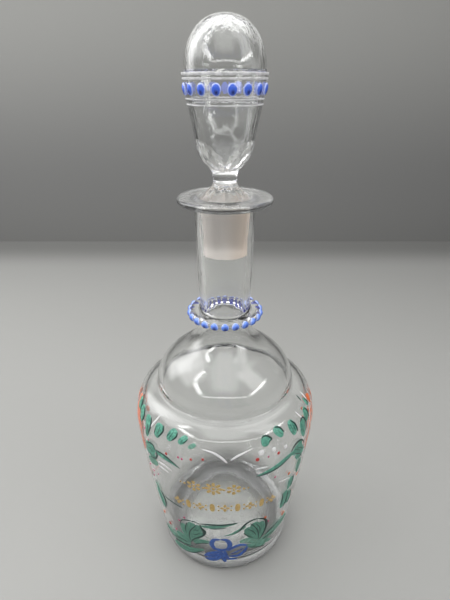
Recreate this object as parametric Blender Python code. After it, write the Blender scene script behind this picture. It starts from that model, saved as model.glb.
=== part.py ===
"""Glass carafe with a blown stopper.

A clear glass bottle with a flat lip and a thick glass thread laid round its neck. A hollow stopper
closes it, and the frosted plug of the stopper is ground into the mouth. Raised enamel beads sit on the
neck ring and round the stopper. Units are metres, +Z is up, and the origin is the centre of the foot.
"""

import math
from itertools import repeat

import bpy
import bmesh
from mathutils import Vector

# Ground joint between mouth and plug
MOUTH_ROUND = 0.0016
JOINT_TOP_RADIUS = 0.0135
JOINT_TAPER = 0.0014
JOINT_LENGTH = 0.029
JOINT_WALL = 0.0024
GROUND_CLEARANCE = 0.0003
JOINT_END_RADIUS = JOINT_TOP_RADIUS - JOINT_TAPER

# Bottle, outside, from the foot up, with each rise counted from the height before it
FOOT_RADIUS = 0.0386
FOOT_RING_WIDTH = 0.004
PUNT_HEIGHT = 0.006
HEEL_ROUND = 0.005
SHOULDER_RADIUS = 0.0549
SHOULDER_RISE = 0.093
CREASE_RADIUS = 0.041
CREASE_RISE = 0.0264
BULB_TOP_RADIUS = 0.026
BULB_TOP_RISE = 0.0236
NECK_FOOT_RADIUS = 0.0141
NECK_FOOT_RISE = 0.03
NECK_RISE = 0.0551
LIP_FILLET = 0.0028
LIP_RADIUS = 0.0248
LIP_THICKNESS = 0.0035

# Bottle, radii and heights that follow from these
HEEL_RADIUS = FOOT_RADIUS + HEEL_ROUND
NECK_TOP_RADIUS = JOINT_TOP_RADIUS + JOINT_WALL
SHOULDER_HEIGHT = HEEL_ROUND + SHOULDER_RISE
CREASE_HEIGHT = SHOULDER_HEIGHT + CREASE_RISE
BULB_TOP_HEIGHT = CREASE_HEIGHT + BULB_TOP_RISE
NECK_FOOT_HEIGHT = BULB_TOP_HEIGHT + NECK_FOOT_RISE
BOTTLE_HEIGHT = NECK_FOOT_HEIGHT + NECK_RISE + LIP_THICKNESS

# Bottle, inside
WALL = 0.0028
NECK_WALL = 0.0036
BASE_THICKNESS = 0.0058
HEEL_HOLLOW_ROUND = 0.013

# Stopper, with its heights counted up from the lip
PLUG_TIP_ROUND = 0.001
SHANK_RADIUS = 0.0069
SHANK_RISE = 0.0049
SEAM_RISE = 0.0066
SEAM_GAP = 0.0003
WAIST_RADIUS = 0.0061
WAIST_RISE = 0.0094
CUP_RADIUS = 0.0144
CUP_RISE = 0.0254
LEDGE_RADIUS = 0.0199
LEDGE_RISE = 0.0559
LEDGE_WIDTH = 0.001
LEDGE_STEP = 0.0005
CROWN_RISE = 0.0794
BOWL_WALL = 0.0018
CAVITY_TIP_RISE = 0.0152
CAVITY_TURN_RADIUS = 0.0072
CAVITY_TURN_RISE = 0.0213
BLOW_HOLE_RADIUS = 0.0007

# Neck ring, laid on below the foot of the neck
RING_DROP = 0.0072
RING_ROOT = 0.0021
RING_BULGE = 0.0035
RING_HALF_HEIGHT = 0.0023
FUSE_GAP = 0.0003
RING_HEIGHT = NECK_FOOT_HEIGHT - RING_DROP

# Enamel beads
RING_BEADS = 22
RING_BEAD_WIDTH = 0.0046
RING_BEAD_HEIGHT = 0.0044
RING_BEAD_RISE = 0.0013
RING_BEAD_DROP = 0.0008
BOWL_BEADS = 17
BOWL_BEAD_WIDTH = 0.0044
BOWL_BEAD_HEIGHT = 0.0054
BOWL_BEAD_RISE = 0.0009
BOWL_BEAD_DROP = 0.0065
BEAD_GAP = 0.0003

# Handles of the curves, as (radius share, height share) of the way from start to end
PUNT_SHARES = ((0.5, 0), (0.8, 0.6))
WALL_SHARES = ((0.29, 0.3), (0.876, 0.72))
SHOULDER_SHARES = ((-0.05, 0.511), (0.122, 0.955))
BULB_SHARES = ((-0.067, 0.322), (0.267, 0.725))
SWEEP_SHARES = ((0.63, 0.147), (1.042, 0.3))
NECK_SHARES = ((0.55, 0.2), (0.75, 0.6))
FLARE_SHARES = ((0.024, 0.375), (0.88, 0.406))
CUP_SHARES = ((0.127, 0.23), (0.69, 0.557))
CROWN_SHARES = ((-0.021, 0.565), (0.365, 1))
CAVITY_SHARES = ((0.45, 0.4), (0.95, 0.4))

# Fineness of the turned shapes
BOTTLE_SIDES = 44
RING_SIDES = 36
RING_FACE_STEPS = 8
STOPPER_SIDES = 40
BEAD_SIDES = 8
BEAD_BANDS = 6
WELD_DISTANCE = 1e-7
SHARP_ANGLE = math.radians(35)


def clear_scene():
    for obj in list(bpy.data.objects):
        bpy.data.objects.remove(obj, do_unlink=True)


def principled(name, colour, roughness):
    material = bpy.data.materials.new(name)
    material.use_nodes = True
    shader = material.node_tree.nodes["Principled BSDF"]
    shader.inputs["Base Color"].default_value = (*colour, 1)
    shader.inputs["Roughness"].default_value = roughness
    shader.inputs["Metallic"].default_value = 0
    return material


def glass(name, colour, roughness):
    material = principled(name, colour, roughness)
    shader = material.node_tree.nodes["Principled BSDF"]
    shader.inputs["IOR"].default_value = 1.5
    shader.inputs["Transmission Weight"].default_value = 1
    return material


def arc(centre, radii, start, end, steps):
    """Points round an ellipse in the (radius, height) plane, between two angles in degrees."""
    points = []
    for step in range(steps + 1):
        angle = math.radians(start + (end - start) * step / steps)
        points.append((centre[0] + radii[0] * math.cos(angle), centre[1] + radii[1] * math.sin(angle)))
    return points


def curve(start, end, handle_shares, steps):
    """Points of a cubic Bezier curve in the (radius, height) plane, both ends included."""
    knots = [start]
    for radius_share, height_share in handle_shares:
        knots.append(
            (
                start[0] + (end[0] - start[0]) * radius_share,
                start[1] + (end[1] - start[1]) * height_share,
            )
        )
    knots.append(end)
    points = []
    for step in range(steps + 1):
        t = step / steps
        weights = ((1 - t) ** 3, 3 * (1 - t) ** 2 * t, 3 * (1 - t) * t**2, t**3)
        points.append(tuple(sum(w * knot[axis] for w, knot in zip(weights, knots)) for axis in (0, 1)))
    return points


def joined(*runs):
    """One list of points from several runs, without the point that two runs share."""
    points = []
    for run in runs:
        for point in run:
            if not points or math.dist(points[-1], point) > WELD_DISTANCE:
                points.append(point)
    return points


def inset(points, depths):
    """A run that goes up the outside, moved square to itself into the glass by a depth at each point."""
    moved = []
    for index, ((radius, height), depth) in enumerate(zip(points, depths)):
        before = points[max(index - 1, 0)]
        after = points[min(index + 1, len(points) - 1)]
        along = Vector((after[0] - before[0], after[1] - before[1])).normalized()
        moved.append((max(radius - along.y * depth, 0), height + along.x * depth))
    return moved


def crossing(points, height):
    """The point at a height on a run that only rises."""
    for low, high in zip(points, points[1:]):
        if low[1] <= height <= high[1]:
            way = (height - low[1]) / (high[1] - low[1])
            return (low[0] + (high[0] - low[0]) * way, height)
    raise ValueError(f"the run doesn't reach a height of {height}")


def object_from(name, bm, material):
    mesh = bpy.data.meshes.new(name)
    bm.to_mesh(mesh)
    bm.free()
    mesh.materials.append(material)
    mesh.shade_smooth()
    mesh.set_sharp_from_angle(angle=SHARP_ANGLE)
    obj = bpy.data.objects.new(name, mesh)
    bpy.context.scene.collection.objects.link(obj)
    return obj


def turned(name, profile, sides, material, ring=False):
    """A solid turned about Z from a profile that ends on the axis, or that closes on itself."""
    bm = bmesh.new()
    corners = [bm.verts.new((radius, 0, height)) for radius, height in profile]
    lines = [bm.edges.new(pair) for pair in zip(corners, corners[1:])]
    if ring:
        lines.append(bm.edges.new((corners[-1], corners[0])))
    bmesh.ops.spin(
        bm, geom=corners + lines, cent=(0, 0, 0), axis=(0, 0, 1), angle=math.tau, steps=sides, use_merge=True
    )
    bmesh.ops.remove_doubles(bm, verts=bm.verts, dist=WELD_DISTANCE)
    bmesh.ops.recalc_face_normals(bm, faces=bm.faces)
    return object_from(name, bm, material)


def body_run():
    """Outside of the wall and the shoulder, from the heel up to the crease under the bulb."""
    heel = (HEEL_RADIUS, HEEL_ROUND)
    shoulder = (SHOULDER_RADIUS, SHOULDER_HEIGHT)
    crease = (CREASE_RADIUS, CREASE_HEIGHT)
    return joined(curve(heel, shoulder, WALL_SHARES, 5), curve(shoulder, crease, SHOULDER_SHARES, 7))


def neck_run():
    """Outside of the bulb and the neck, from the crease up to the fillet under the lip."""
    crease = (CREASE_RADIUS, CREASE_HEIGHT)
    bulb_top = (BULB_TOP_RADIUS, BULB_TOP_HEIGHT)
    neck_foot = (NECK_FOOT_RADIUS, NECK_FOOT_HEIGHT)
    neck_top = (NECK_TOP_RADIUS, BOTTLE_HEIGHT - LIP_THICKNESS - LIP_FILLET)
    return joined(
        curve(crease, bulb_top, BULB_SHARES, 5),
        curve(bulb_top, neck_foot, SWEEP_SHARES, 7),
        curve(neck_foot, neck_top, NECK_SHARES, 3),
    )


def foot_run():
    """Underside, from the middle of the punt over the standing ring and up the heel."""
    ring_inside = FOOT_RADIUS - FOOT_RING_WIDTH
    punt = curve((0, PUNT_HEIGHT), (ring_inside, 0), PUNT_SHARES, 4)
    heel = arc((FOOT_RADIUS, HEEL_ROUND), (HEEL_ROUND, HEEL_ROUND), -90, 0, 3)
    return joined(punt, heel)


def lip_run():
    """From under the lip, round its edge and over it, into the mouth and down the ground bore."""
    underside = BOTTLE_HEIGHT - LIP_THICKNESS
    edge = LIP_THICKNESS / 2
    mouth_bottom = BOTTLE_HEIGHT - MOUTH_ROUND
    fillet = arc((NECK_TOP_RADIUS + LIP_FILLET, underside - LIP_FILLET), (LIP_FILLET, LIP_FILLET), 180, 90, 2)
    rim = arc((LIP_RADIUS - edge, underside + edge), (edge, edge), -90, 90, 5)
    mouth = arc((JOINT_TOP_RADIUS + MOUTH_ROUND, mouth_bottom), (MOUTH_ROUND, MOUTH_ROUND), 90, 180, 3)
    return joined(fillet, rim, mouth, [(JOINT_END_RADIUS, mouth_bottom - JOINT_LENGTH)])


def neck_wall(height):
    """Wall of the bulb and the neck at a height. It thickens up the sweep between them."""
    way = (height - BULB_TOP_HEIGHT) / (NECK_FOOT_HEIGHT - BULB_TOP_HEIGHT)
    return WALL + (NECK_WALL - WALL) * min(max(way, 0), 1)


def hollow_run():
    """Inside of the bottle, from just below the ground bore down to the middle of the floor."""
    neck = inset(neck_run(), [neck_wall(height) for radius, height in neck_run()])
    bore_end = BOTTLE_HEIGHT - MOUTH_ROUND - JOINT_LENGTH
    under_bore = crossing(neck, bore_end - WALL)
    neck = [point for point in neck if point[1] < under_bore[1]] + [under_bore]
    under_crease = arc((CREASE_RADIUS, CREASE_HEIGHT), (WALL, WALL), -90, -180, 3)
    body = inset(body_run(), repeat(WALL))
    wall_end = crossing(body, BASE_THICKNESS + HEEL_HOLLOW_ROUND)
    body = [wall_end] + [point for point in body if point[1] > wall_end[1]]
    round_centre = (wall_end[0] - HEEL_HOLLOW_ROUND, wall_end[1])
    heel = arc(round_centre, (HEEL_HOLLOW_ROUND, HEEL_HOLLOW_ROUND), -90, 0, 3)
    floor = curve((0, PUNT_HEIGHT + BASE_THICKNESS), heel[0], PUNT_SHARES, 3)
    upward = joined(floor, heel, body, under_crease[1:-1], neck)
    return upward[::-1]


def make_bottle(material):
    profile = joined(foot_run(), body_run(), neck_run(), lip_run(), hollow_run())
    return turned("bottle", profile, BOTTLE_SIDES, material)


def neck_seat(side):
    """Where the neck ring lies on the bottle: side is -1 at its underside, 0 halfway and 1 at its top."""
    radius, height = crossing(neck_run(), RING_HEIGHT + RING_HALF_HEIGHT * side)
    return (radius + FUSE_GAP, height)


def ring_face(turn, lift=0):
    """A point of the neck ring's outer face, which is half an ellipse: turn is the angle up from its rim."""
    core_radius = neck_seat(-1)[0] + RING_ROOT
    return (
        core_radius + (RING_BULGE + lift) * math.cos(turn),
        RING_HEIGHT + (RING_HALF_HEIGHT + lift) * math.sin(turn),
    )


def make_neck_ring(material):
    outer = [ring_face(math.pi * (step / RING_FACE_STEPS - 1 / 2)) for step in range(RING_FACE_STEPS + 1)]
    seat = [neck_seat(side) for side in (1, 0, -1)]
    return turned("neck_ring", joined(outer, seat), RING_SIDES, material, ring=True)


def make_stopper_plug(material):
    """Solid lower half of the stopper: the ground taper that sits in the mouth, and a cone up to the seam."""
    top = -MOUTH_ROUND
    tip = top - JOINT_LENGTH
    seam = SEAM_RISE - SEAM_GAP
    upper_radius = JOINT_TOP_RADIUS - GROUND_CLEARANCE
    lower_radius = JOINT_END_RADIUS - GROUND_CLEARANCE
    round_centre = (lower_radius - PLUG_TIP_ROUND, tip + PLUG_TIP_ROUND)
    tip_round = arc(round_centre, (PLUG_TIP_ROUND, PLUG_TIP_ROUND), -90, 0, 2)
    cone = [(upper_radius, top), (SHANK_RADIUS, SHANK_RISE), (WAIST_RADIUS, seam), (0, seam)]
    return turned("stopper_plug", joined([(0, tip)], tip_round, cone), STOPPER_SIDES, material)


def flare_run():
    """Outside of the bowl from the waist up to the foot of the cup."""
    return curve((WAIST_RADIUS, WAIST_RISE), (CUP_RADIUS, CUP_RISE), FLARE_SHARES, 5)


def cup_run():
    """Outside of the bowl from the foot of the cup up to the ledge."""
    return curve((CUP_RADIUS, CUP_RISE), (LEDGE_RADIUS, LEDGE_RISE), CUP_SHARES, 6)


def make_stopper_bowl(material):
    """Hollow upper half of the stopper, open only at the hole in its stem that it was blown through."""
    crown_foot = (LEDGE_RADIUS - LEDGE_WIDTH, LEDGE_RISE + LEDGE_STEP)
    crown = curve(crown_foot, (0, CROWN_RISE), CROWN_SHARES, 7)
    inner_cup = inset(cup_run(), repeat(BOWL_WALL))
    cavity_tip = (BLOW_HOLE_RADIUS, CAVITY_TIP_RISE)
    turn = (CAVITY_TURN_RADIUS, CAVITY_TURN_RISE)
    cavity_floor = joined([cavity_tip], curve(turn, inner_cup[1], CAVITY_SHARES, 4))
    inside = joined([(BLOW_HOLE_RADIUS, SEAM_RISE)], cavity_floor, inner_cup[2:], inset(crown, repeat(BOWL_WALL)))
    outside = joined([(WAIST_RADIUS, SEAM_RISE)], flare_run(), cup_run(), crown)
    return turned("stopper_bowl", inside[::-1] + outside, STOPPER_SIDES, material)


def ring_seat(up, lift):
    """Where a bead sits on the neck ring, just below its rim: up is the way up from the middle of the row."""
    return ring_face((up - RING_BEAD_DROP) / RING_HALF_HEIGHT, lift)


def bowl_seat(up, lift):
    """Where a bead sits on the cup: up is the way up from the middle of the row."""
    cup = cup_run()
    height = LEDGE_RISE - BOWL_BEAD_DROP + up
    radius = crossing(cup, height)[0]
    above = crossing(cup, height + LEDGE_STEP)[0]
    below = crossing(cup, height - LEDGE_STEP)[0]
    slope = Vector((above - below, 2 * LEDGE_STEP)).normalized()
    return (radius + slope.y * lift, height - slope.x * lift)


def bead_mesh(name, size, seat, material):
    """A drop of enamel whose back follows the face that seat describes. Its own +X points off that face."""
    width, height, rise = size
    middle_radius, middle_height = seat(0, 0)
    bm = bmesh.new()
    bmesh.ops.create_uvsphere(bm, u_segments=BEAD_SIDES, v_segments=BEAD_BANDS, radius=1)
    for vert in bm.verts:
        across, up, out = vert.co
        radius, level = seat(up * height / 2, BEAD_GAP + rise * max(out, 0))
        angle = across * width / 2 / middle_radius
        vert.co = (
            radius * math.cos(angle) - middle_radius,
            radius * math.sin(angle),
            level - middle_height,
        )
    mesh = bpy.data.meshes.new(name)
    bm.to_mesh(mesh)
    bm.free()
    mesh.materials.append(material)
    mesh.shade_smooth()
    return mesh


def set_beads(name, count, first_angle, size, seat, material, parent=None):
    """A row of beads, each its own object, evenly round the axis on the face that seat describes."""
    mesh = bead_mesh(name, size, seat, material)
    radius, height = seat(0, 0)
    for index in range(count):
        angle = first_angle + math.tau * index / count
        bead = bpy.data.objects.new(f"{name}_{index + 1:02d}", mesh)
        bead.location = (radius * math.cos(angle), radius * math.sin(angle), height)
        bead.rotation_euler = (0, 0, angle)
        bead.parent = parent
        bpy.context.scene.collection.objects.link(bead)


clear_scene()
clear_glass = glass("clear_glass", (0.96, 0.97, 0.965), 0.02)
ground_glass = glass("ground_glass", (0.86, 0.82, 0.79), 0.5)
blue_enamel = principled("blue_enamel", (0.16, 0.3, 0.78), 0.25)

make_bottle(clear_glass)
make_neck_ring(clear_glass)
ring_bead_size = (RING_BEAD_WIDTH, RING_BEAD_HEIGHT, RING_BEAD_RISE)
set_beads("ring_bead", RING_BEADS, -math.pi / 2, ring_bead_size, ring_seat, blue_enamel)

# The stopper lifts out along this empty's Z, from the plane of the lip
stopper_axis = bpy.data.objects.new("stopper_axis", None)
stopper_axis.location = (0, 0, BOTTLE_HEIGHT)
bpy.context.scene.collection.objects.link(stopper_axis)
make_stopper_plug(ground_glass).parent = stopper_axis
make_stopper_bowl(clear_glass).parent = stopper_axis
bowl_bead_size = (BOWL_BEAD_WIDTH, BOWL_BEAD_HEIGHT, BOWL_BEAD_RISE)
bowl_first_angle = -math.pi / 2 + math.pi / BOWL_BEADS
set_beads("bowl_bead", BOWL_BEADS, bowl_first_angle, bowl_bead_size, bowl_seat, blue_enamel, stopper_axis)
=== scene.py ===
"""A clear glass carafe, painted in enamels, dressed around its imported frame.

Lengths are written in millimetres and made metres by MM. The body is turned about Z, and a place on it is
an angle from the front, in degrees, with a height.
"""

import math
from itertools import repeat

import bmesh
import bpy
from mathutils import Matrix, Vector, noise


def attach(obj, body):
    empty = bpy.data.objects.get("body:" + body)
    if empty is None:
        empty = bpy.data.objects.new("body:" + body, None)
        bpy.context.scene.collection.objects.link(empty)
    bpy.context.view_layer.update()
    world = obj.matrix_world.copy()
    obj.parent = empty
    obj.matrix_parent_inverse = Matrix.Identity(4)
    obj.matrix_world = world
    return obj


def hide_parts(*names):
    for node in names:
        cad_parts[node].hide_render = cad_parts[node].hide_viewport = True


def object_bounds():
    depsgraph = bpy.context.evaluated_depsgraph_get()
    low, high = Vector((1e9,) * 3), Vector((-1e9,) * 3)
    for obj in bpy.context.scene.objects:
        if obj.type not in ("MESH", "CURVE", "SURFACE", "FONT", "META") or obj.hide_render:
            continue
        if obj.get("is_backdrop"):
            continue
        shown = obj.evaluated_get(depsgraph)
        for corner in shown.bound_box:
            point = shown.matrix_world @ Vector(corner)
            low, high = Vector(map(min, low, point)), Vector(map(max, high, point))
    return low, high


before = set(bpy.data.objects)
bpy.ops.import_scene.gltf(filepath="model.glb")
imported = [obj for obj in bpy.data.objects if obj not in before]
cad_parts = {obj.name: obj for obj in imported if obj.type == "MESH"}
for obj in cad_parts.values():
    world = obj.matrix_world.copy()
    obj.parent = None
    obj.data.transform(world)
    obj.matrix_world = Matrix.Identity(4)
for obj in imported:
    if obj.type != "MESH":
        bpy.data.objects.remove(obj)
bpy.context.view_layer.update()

# Bottle
# One blown piece of clear soda glass: a pushed-up foot, a body that swells to a round shoulder, a domed bulb,
# a drawn neck and a wide flat lip. The thread laid round its neck is fused on, so both are one glass here.
MM = 0.001
FOOT_RADIUS = 38.6
STANDING_WIDTH = 4
PUNT_HEIGHT = 6
HEEL_ROUND = 5
SHOULDER = (54.9, 98)
CREASE = (41, 124.4)
BULB_TOP = (26, 148)
NECK_FOOT = (14.1, 178)
NECK_TOP_RADIUS = 15.9
LIP_FILLET = 2.8
LIP_RADIUS = 24.8
LIP_THICKNESS = 3.5
BOTTLE_HEIGHT = 236.6
MOUTH_ROUND = 1.6
JOINT_TOP_RADIUS = 13.5
JOINT_END_RADIUS = 12.1
JOINT_LENGTH = 29
WALL = 2.8
NECK_WALL = 3.6
BASE_THICKNESS = 5.8
CORNER_ROUND = 13
PUNT_SHARES = ((0.5, 0), (0.8, 0.6))
RING_HEIGHT = 170.8
RING_CORE_RADIUS = 16.7
RING_BULGE = 3.6
RING_HALF_HEIGHT = 2.3
RING_HALF_TURN = 122
RING_ROOM = 2.8
CREASE_SOFTNESS = 1.3
RING_SOFTNESS = 0.7
BOTTLE_SIDES = 160
SHARP_ANGLE = math.radians(30)
SAME_POINT = 1e-4
EASE_STEPS = 8
WELD_DISTANCE = 0.001 * MM


def arc(centre, radii, start, end, steps):
    """Points round an ellipse in the (radius, height) plane, between two angles in degrees."""
    angles = [math.radians(start + (end - start) * step / steps) for step in range(steps + 1)]
    return [(centre[0] + radii[0] * math.cos(a), centre[1] + radii[1] * math.sin(a)) for a in angles]


def curve(start, end, handle_shares, steps):
    """Points of a Bezier curve, with its handles as shares of the way from start to end."""
    way = (end[0] - start[0], end[1] - start[1])
    knots = [start, *((start[0] + way[0] * r, start[1] + way[1] * h) for r, h in handle_shares), end]
    points = []
    for step in range(steps + 1):
        t = step / steps
        weights = ((1 - t) ** 3, 3 * (1 - t) ** 2 * t, 3 * (1 - t) * t**2, t**3)
        points.append(tuple(sum(w * knot[axis] for w, knot in zip(weights, knots)) for axis in (0, 1)))
    return points


def joined(*runs):
    """One run from several, without the point that two of them share."""
    points = []
    for point in (point for run in runs for point in run):
        if not points or math.dist(points[-1], point) > SAME_POINT:
            points.append(point)
    return points


def straight(start, end, steps):
    return [tuple(a + (b - a) * step / steps for a, b in zip(start, end)) for step in range(steps + 1)]


def inset(points, depths):
    """A run that goes up the outside, moved square to itself into the glass by a depth at each point."""
    moved = []
    for index, ((radius, height), depth) in enumerate(zip(points, depths)):
        before, after = points[max(index - 1, 0)], points[min(index + 1, len(points) - 1)]
        along = Vector((after[0] - before[0], after[1] - before[1])).normalized()
        moved.append((max(radius - along.y * depth, 0), height + along.x * depth))
    return moved


def neck_wall(height):
    """Wall of the bulb and the neck at a height. It thickens up the sweep between them."""
    share = (height - BULB_TOP[1]) / (NECK_FOOT[1] - BULB_TOP[1])
    return WALL + (NECK_WALL - WALL) * min(max(share, 0), 1)


def eased(points, corner, reach):
    """The run with one corner rounded by fire polishing, over a reach to each side of it."""
    near = [index for index, point in enumerate(points) if math.dist(point, corner) < reach]
    first, last = points[near[0] - 1], points[near[-1] + 1]
    bend = []
    for step in range(1, EASE_STEPS):
        t = step / EASE_STEPS
        sides = zip(first, corner, last)
        bend.append(tuple(a * (1 - t) ** 2 + 2 * b * t * (1 - t) + c * t**2 for a, b, c in sides))
    return points[: near[0]] + bend + points[near[-1] + 1 :]


neck_top = (NECK_TOP_RADIUS, BOTTLE_HEIGHT - LIP_THICKNESS - LIP_FILLET)
joint_top = (JOINT_TOP_RADIUS, BOTTLE_HEIGHT - MOUTH_ROUND)
joint_end = (JOINT_END_RADIUS, BOTTLE_HEIGHT - MOUTH_ROUND - JOINT_LENGTH)
heel_run = arc((FOOT_RADIUS, HEEL_ROUND), (HEEL_ROUND, HEEL_ROUND), -90, 0, 10)
body_run = joined(
    curve((FOOT_RADIUS + HEEL_ROUND, HEEL_ROUND), SHOULDER, ((0.29, 0.3), (0.876, 0.72)), 44),
    curve(SHOULDER, CREASE, ((-0.05, 0.511), (0.122, 0.955)), 40),
)
neck_run = joined(
    curve(CREASE, BULB_TOP, ((-0.067, 0.322), (0.267, 0.725)), 32),
    curve(BULB_TOP, NECK_FOOT, ((0.63, 0.147), (1.042, 0.3)), 44),
    curve(NECK_FOOT, neck_top, ((0.55, 0.2), (0.75, 0.6)), 26),
)
ring_middle = (RING_CORE_RADIUS, RING_HEIGHT)
ring_run = arc(ring_middle, (RING_BULGE, RING_HALF_HEIGHT), -RING_HALF_TURN, RING_HALF_TURN, 30)


def outside_run():
    """The whole outside, from the middle of the pushed-up foot to the start of the ground bore."""
    punt = curve((0, PUNT_HEIGHT), (FOOT_RADIUS - STANDING_WIDTH, 0), PUNT_SHARES, 16)
    below_ring = [point for point in neck_run if point[1] < RING_HEIGHT - RING_ROOM]
    above_ring = [point for point in neck_run if point[1] > RING_HEIGHT + RING_ROOM]
    upper = eased(joined(body_run, below_ring, ring_run, above_ring), CREASE, CREASE_SOFTNESS)
    for root in (ring_run[0], ring_run[-1]):
        upper = eased(upper, root, RING_SOFTNESS)
    fillet = arc((NECK_TOP_RADIUS + LIP_FILLET, neck_top[1]), (LIP_FILLET, LIP_FILLET), 180, 90, 8)
    rim_round = LIP_THICKNESS / 2
    rim = arc((LIP_RADIUS - rim_round, BOTTLE_HEIGHT - rim_round), (rim_round, rim_round), -90, 90, 16)
    mouth_edge = JOINT_TOP_RADIUS + MOUTH_ROUND
    mouth = arc((mouth_edge, joint_top[1]), (MOUTH_ROUND, MOUTH_ROUND), 90, 180, 8)
    lip_under = straight(fillet[-1], rim[0], 4)
    lip_top = straight(rim[-1], mouth[0], 6)
    return joined(punt, heel_run, upper, fillet, lip_under, rim, lip_top, mouth)


def inside_run():
    """The inside, from the middle of the floor up to the end of the ground bore."""
    corner_top = BASE_THICKNESS + CORNER_ROUND
    past_crease = CREASE[1] + 1.1
    in_neck = NECK_FOOT[1] + 6
    body = [point for point in inset(body_run, repeat(WALL)) if point[1] > corner_top]
    corner = arc((body[0][0] - CORNER_ROUND, body[0][1]), (CORNER_ROUND, CORNER_ROUND), -90, 0, 16)
    floor = curve((0, PUNT_HEIGHT + BASE_THICKNESS), corner[0], PUNT_SHARES, 14)
    under_crease = arc(CREASE, (WALL, WALL), -92, -168, 8)
    neck = inset(neck_run, [neck_wall(height) for radius, height in neck_run])
    neck = [point for point in neck if past_crease < point[1] < in_neck]
    bore_foot = curve(neck[-1], joint_end, ((0, 0.4), (0.75, 0.6)), 14)
    return joined(floor, corner, body[:-2], under_crease, neck, bore_foot)


# Slow and quick waves of the wall: how many to a metre, how far they stray, and where their noise starts
WALL_WAVES = ((42, 0.16, (3.1, 0.7, 5.2)), (110, 0.05, (9.4, 2.6, 1.8)))
TRUE_FOOT = 14
TRUE_NECK = 205
NECK_FADE = 30
LEAST_WAVING = 0.15


def wavering(place):
    """How far hand-blown glass strays from a true turning at a place, outwards, in metres."""
    height = place.z / MM
    calm = min(max(height / TRUE_FOOT, 0), 1) * min(max((TRUE_NECK - height) / NECK_FADE, LEAST_WAVING), 1)
    return calm * sum(far * noise.noise(place * many + Vector(start)) for many, far, start in WALL_WAVES) * MM


def turned(profile, sides, ring=False):
    """A bmesh turned about Z from a profile in millimetres, with its doubles merged and faces turned out."""
    bm = bmesh.new()
    corners = [bm.verts.new((radius * MM, 0, height * MM)) for radius, height in profile]
    lines = [bm.edges.new(pair) for pair in zip(corners, corners[1:])]
    if ring:
        lines.append(bm.edges.new((corners[-1], corners[0])))
    bmesh.ops.spin(
        bm, geom=corners + lines, cent=(0, 0, 0), axis=(0, 0, 1), angle=math.tau, steps=sides, use_merge=True
    )
    bmesh.ops.remove_doubles(bm, verts=bm.verts, dist=WELD_DISTANCE)
    bmesh.ops.recalc_face_normals(bm, faces=bm.faces)
    return bm


def piece(name, bm, body, slot, *materials):
    """The finished bmesh as an object that rides on a body of the frame."""
    mesh = bpy.data.meshes.new(name)
    bm.to_mesh(mesh)
    bm.free()
    for material in materials:
        mesh.materials.append(material)
    mesh.shade_smooth()
    mesh.set_sharp_from_angle(angle=SHARP_ANGLE)
    obj = bpy.data.objects.new(name, mesh)
    bpy.context.scene.collection.objects.link(obj)
    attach(obj, body)
    return obj


def feed(tree, node, values):
    """Sets inputs of a node, each to a value or to a link from another socket."""
    for name, value in values.items():
        if isinstance(value, bpy.types.NodeSocket):
            tree.links.new(value, node.inputs[name])
        else:
            node.inputs[name].default_value = value


def put(tree, kind, values=None, **settings):
    """A new shader node with its settings and its inputs."""
    node = tree.nodes.new("ShaderNode" + kind)
    for name, value in settings.items():
        setattr(node, name, value)
    feed(tree, node, values or {})
    return node


def worked(tree, operation, *values, **settings):
    """The result of a sum on values or sockets."""
    return put(tree, "Math", dict(enumerate(values)), operation=operation, **settings).outputs[0]


def largest(tree, *sockets):
    """The largest of several values at each place."""
    most = sockets[0]
    for socket in sockets[1:]:
        most = worked(tree, "MAXIMUM", most, socket)
    return most


def graded(tree, value, start, end, low=0.0, high=1.0, smooth=False):
    """A value that goes from low to high while another goes from start to end."""
    ends = {"Value": value, "From Min": start, "From Max": end, "To Min": low, "To Max": high}
    kind = "SMOOTHSTEP" if smooth else "LINEAR"
    return put(tree, "MapRange", ends, interpolation_type=kind).outputs["Result"]


def blend(tree, share, first, second):
    """A colour between two, each of which is a colour or a socket."""
    sides = [side if isinstance(side, bpy.types.NodeSocket) else (*side, 1) for side in (first, second)]
    return put(tree, "Mix", {"Factor": share, 6: sides[0], 7: sides[1]}, data_type="RGBA").outputs[2]


def mottled(tree, place, scale, detail=2.0, roughness=0.5):
    """Smooth noise, with its scale in waves to a metre where the place is one on the object."""
    look = {"Vector": place, "Scale": scale, "Detail": detail, "Roughness": roughness}
    return put(tree, "TexNoise", look).outputs["Fac"]


def drawn_out(tree, place, scale):
    """A place for a pattern that is drawn out along each axis whose scale is below 1."""
    return put(tree, "Mapping", {"Vector": place, "Scale": scale}).outputs["Vector"]


def bumped(tree, strength, depth, height):
    """The surface's normal over bumps of a depth in millimetres."""
    look = {"Strength": strength, "Distance": depth * MM, "Height": height}
    return put(tree, "Bump", look).outputs["Normal"]


def object_place(tree):
    return put(tree, "TexCoord").outputs["Object"]


def new_group(name, inputs, outputs):
    """An empty node group, its inputs as (name, kind, default) and outputs as (name, kind), with the
    sockets that come in and the node that takes what goes out."""
    group = bpy.data.node_groups.new(name, "ShaderNodeTree")
    for label, kind, default in inputs:
        socket = group.interface.new_socket(label, in_out="INPUT", socket_type="NodeSocket" + kind)
        socket.default_value = default
    for label, kind in outputs:
        group.interface.new_socket(label, in_out="OUTPUT", socket_type="NodeSocket" + kind)
    return group, group.nodes.new("NodeGroupInput").outputs, group.nodes.new("NodeGroupOutput")


def new_material(name):
    """A material, with its node tree and its Principled shader."""
    material = bpy.data.materials.new(name)
    material.use_nodes = True
    return material, material.node_tree, material.node_tree.nodes["Principled BSDF"]


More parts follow.
